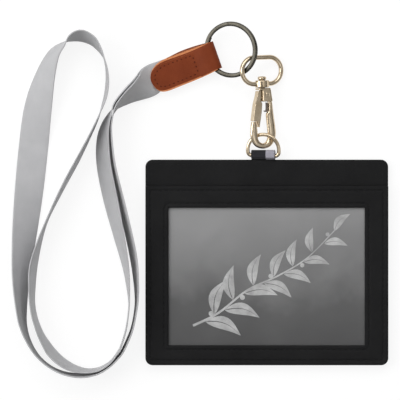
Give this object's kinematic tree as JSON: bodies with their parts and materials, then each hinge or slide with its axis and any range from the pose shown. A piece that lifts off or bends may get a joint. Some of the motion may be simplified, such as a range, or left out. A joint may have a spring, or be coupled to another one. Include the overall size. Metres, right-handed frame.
{
  "type": "card holder with lanyard",
  "caption": "Flat horizontal card holder with a window, a D-ring, a swivel trigger hook, a split ring, a leather tab and a ribbon neck strap lying looped beside it.",
  "frame": {"origin": "centre of the holder's flat back face, on the table", "axes": "+Z out of the holder's front, +Y towards its D-ring and lanyard, +X to the right as the card is read"},
  "size_m": [0.1787, 0.1693, 0.0144],
  "materials": {
    "black_leather": "fine cross-grained black leather-look sheet",
    "grey_board": "plain pressed fibre board",
    "printed_card": "matte dark grey card",
    "clear_film": "clear glossy film",
    "black_webbing": "woven webbing, black with a paler edge stripe",
    "pale_gold": "polished pale gold plating",
    "spring_steel": "bare spring steel",
    "dark_bronze": "polished dark bronze plating on steel",
    "saddle_leather": "smooth brown leather with tan cut edges",
    "grey_ribbon": "soft grey woven ribbon with a slight sheen"
  },
  "bodies": {
    "holder": {"back_panel": "black_leather", "stiffener_board": "grey_board", "inner_panel": "black_leather", "window_film": "clear_film", "front_panel": "black_leather", "tab_webbing": "black_webbing"},
    "card": {"insert_card": "printed_card"},
    "ring_loop": {"d_ring": "pale_gold"},
    "hook": {"hook_body": "pale_gold", "gate_rivet": "pale_gold", "gate_spring": "spring_steel"},
    "gate": {"gate_lever": "pale_gold"},
    "eye": {"swivel_eye": "pale_gold"},
    "split_ring": {"key_ring": "dark_bronze"},
    "strap": {"leather_tab": "saddle_leather", "neck_strap": "grey_ribbon"}
  },
  "joints": [
    {"name": "card_slide", "type": "slide", "parent": "holder", "child": "card", "axis": [0, 1, 0], "range_m": [0, 0.017]},
    {"name": "d_ring_turn", "type": "hinge", "parent": "holder", "child": "ring_loop", "pos_m": [-0.00166, 0.05065, 0.0029], "axis": [0.9816, -0.0341, 0.1877], "range_deg": [-75, 110]},
    {"name": "hook_swing", "type": "hinge", "parent": "ring_loop", "child": "hook", "pos_m": [-0.00166, 0.06078, 0.00474], "axis": [0.9816, -0.0341, 0.1877], "range_deg": [-25, 25]},
    {"name": "gate_open", "type": "hinge", "parent": "hook", "child": "gate", "pos_m": [-0.00075, 0.07951, 0.00467], "axis": [0.4644, -0.0337, 0.885], "range_deg": [0, 14], "stiffness_Nm_per_rad": 0.05, "springref_deg": -5.73},
    {"name": "eye_swivel", "type": "hinge", "parent": "hook", "child": "eye", "pos_m": [-0.00233, 0.0846, 0.0057], "axis": [-0.0272, 0.9983, 0.0523], "continuous": true},
    {"name": "ring_fold", "type": "hinge", "parent": "eye", "child": "split_ring", "pos_m": [-0.00885, 0.09375, 0.0087], "axis": [0.7259, 0.685, 0.0613], "range_deg": [-8, 90]},
    {"name": "tab_round_ring", "type": "hinge", "parent": "split_ring", "child": "strap", "pos_m": [-0.017, 0.10075, 0.0073], "axis": [0.3716, 0.1207, -0.9205], "range_deg": [0, 150]}
  ]
}
